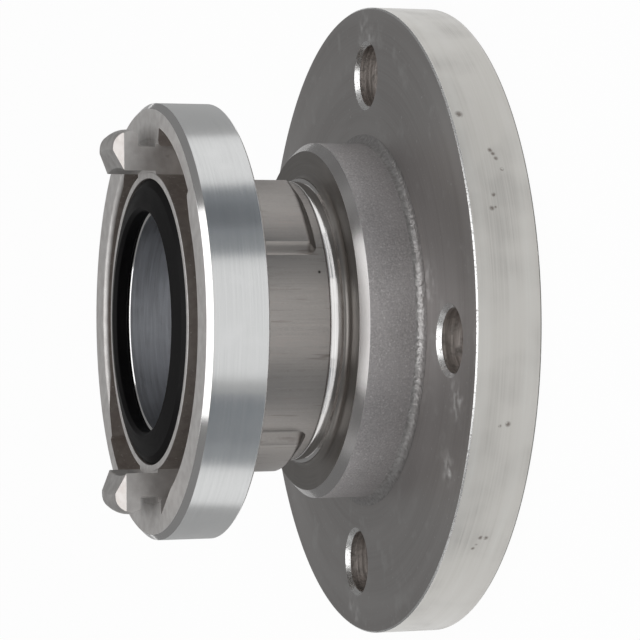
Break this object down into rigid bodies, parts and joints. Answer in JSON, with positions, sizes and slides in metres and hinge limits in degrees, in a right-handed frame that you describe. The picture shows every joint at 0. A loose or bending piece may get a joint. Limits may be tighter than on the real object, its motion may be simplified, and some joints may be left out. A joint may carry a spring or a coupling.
{
  "type": "storz flange adapter",
  "caption": "Fire hose claw coupling screwed onto a round pipe flange with bolt holes, with a rubber face seal and a raised hub.",
  "frame": {"origin": "middle of the flange's flat sealing face, which the part stands on", "axes": "+Z along the bore from the flange to the claws; +X through the middle of the first claw"},
  "size_m": [0.185, 0.185, 0.0964],
  "materials": {
    "flange_metal": "turned plate with a blasted hub",
    "coupling_metal": "forged and turned, bright rim and satin neck",
    "seal_rubber": "moulded, matt",
    "gasket_rubber": "cut sheet, matt"
  },
  "bodies": {
    "root": {"flange": "flange_metal", "coupling_body": "coupling_metal", "face_seal": "seal_rubber", "thread_gasket": "gasket_rubber"}
  },
  "joints": []
}
